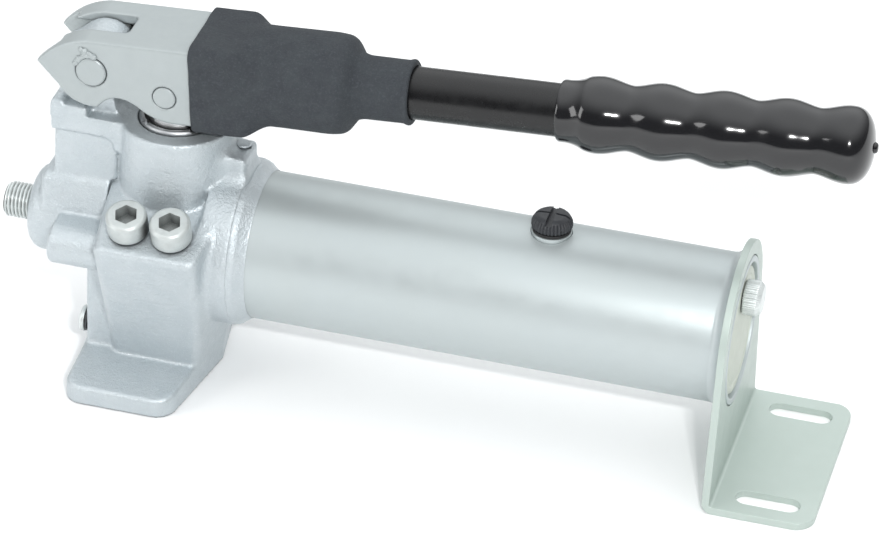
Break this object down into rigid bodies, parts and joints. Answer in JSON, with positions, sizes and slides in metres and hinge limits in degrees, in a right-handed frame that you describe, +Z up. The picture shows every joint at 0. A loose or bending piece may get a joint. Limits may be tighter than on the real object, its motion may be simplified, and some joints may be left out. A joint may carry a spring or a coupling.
{
  "type": "hydraulic hand pump",
  "caption": "Hand-lever hydraulic pump: cast head with stepped piston and check valves, steel oil tank, bent foot bracket, sleeved lever with finger-bulge grip.",
  "frame": {"origin": "on the bench, on the underside of the head foot, straight below the piston axis and in the middle plane of the tank", "axes": "+X along the tank from the piston towards the foot bracket, +Z up along the piston, Y across; -Z is the outward normal of the head foot"},
  "size_m": [0.336, 0.0978, 0.1581],
  "materials": {
    "cast_paint": "silver paint on a rough casting",
    "tank_paint": "satin silver paint",
    "bracket_paint": "pale grey-green satin paint",
    "lever_paint": "satin silver paint on steel",
    "cap_face": "matt pale beige primer",
    "cap_screw_zinc": "dull zinc plate",
    "zinc": "bright zinc plate",
    "steel": "ground steel",
    "hard_chrome": "hard chrome, polished",
    "bronze": "turned bronze",
    "dark_washer": "blackened steel",
    "black_paint": "semi-gloss black paint",
    "grip_vinyl": "glossy dipped vinyl",
    "sleeve_rubber": "matt speckled charcoal rubber",
    "black_plastic": "moulded black plastic",
    "seal_rubber": "black seal rubber"
  },
  "bodies": {
    "pump_frame": {"pump_head": "cast_paint", "oil_tank": "tank_paint", "tank_end_cap": "cap_face", "foot_bracket": "bracket_paint", "front_weld": "cast_paint", "rear_weld": "tank_paint", "gland_bush": "steel", "wiper_ring": "seal_rubber", "outlet_union": "zinc", "delivery_cap_screw": "cap_screw_zinc", "relief_cap_screw": "cap_screw_zinc", "delivery_sealing_washer": "dark_washer", "relief_sealing_washer": "dark_washer", "delivery_spring": "steel", "relief_spring": "steel", "inlet_plug": "zinc", "inlet_plug_washer": "dark_washer", "gallery_plug": "cast_paint", "suction_tube": "steel", "suction_strainer": "bronze", "filler_bung": "tank_paint", "filler_seal": "seal_rubber", "vent_screw_seal": "seal_rubber", "release_seal": "seal_rubber"},
    "lever": {"lever_channel": "lever_paint", "handle_socket": "lever_paint", "handle_tube": "black_paint", "lever_sleeve": "sleeve_rubber", "lever_grip": "grip_vinyl", "fulcrum_pin": "lever_paint", "piston_pin": "lever_paint", "fulcrum_spacer_near": "zinc", "fulcrum_spacer_far": "zinc"},
    "piston": {"piston": "hard_chrome", "low_stage_seal": "seal_rubber", "high_stage_seal": "seal_rubber"},
    "release_valve": {"release_spindle": "steel", "release_knob": "zinc"},
    "filler_cap": {"filler_cap": "black_plastic"},
    "vent_screw": {"vent_screw": "zinc"},
    "delivery_ball": {"delivery_ball": "steel"},
    "relief_ball": {"relief_ball": "steel"},
    "inlet_ball": {"inlet_ball": "steel"}
  },
  "joints": [
    {"name": "lever_swing", "type": "hinge", "parent": "pump_frame", "child": "lever", "pos_m": [-0.0289, 0, 0.1294], "axis": [0, -1, 0], "range_deg": [0, 40]},
    {"name": "piston_stroke", "type": "slide", "parent": "pump_frame", "child": "piston", "axis": [0, 0, 1], "range_m": [0, 0.0203]},
    {"name": "release_turn", "type": "hinge", "parent": "pump_frame", "child": "release_valve", "pos_m": [-0.003, 0.043, 0.044], "axis": [0, 1, 0], "range_deg": [0, 450]},
    {"name": "filler_cap_turn", "type": "hinge", "parent": "pump_frame", "child": "filler_cap", "pos_m": [0.1478, 0, 0.088], "axis": [0, 0, 1], "range_deg": [0, 720]},
    {"name": "vent_screw_turn", "type": "hinge", "parent": "pump_frame", "child": "vent_screw", "pos_m": [0.225, 0, 0.0713], "axis": [1, 0, 0], "range_deg": [0, 720]},
    {"name": "delivery_ball_lift", "type": "slide", "parent": "pump_frame", "child": "delivery_ball", "axis": [0, -0.342, 0.9397], "range_m": [0, 0.0012], "stiffness_N_per_m": 200, "springref_m": -0.002},
    {"name": "relief_ball_lift", "type": "slide", "parent": "pump_frame", "child": "relief_ball", "axis": [0, -0.342, 0.9397], "range_m": [0, 0.0012], "stiffness_N_per_m": 600, "springref_m": -0.002},
    {"name": "inlet_ball_roll", "type": "slide", "parent": "pump_frame", "child": "inlet_ball", "axis": [-1, 0, 0], "range_m": [0, 0.002]}
  ],
  "couplings": [
    {"joint": "piston_stroke", "follows": "lever_swing", "m_per_rad": 0.0288}
  ]
}
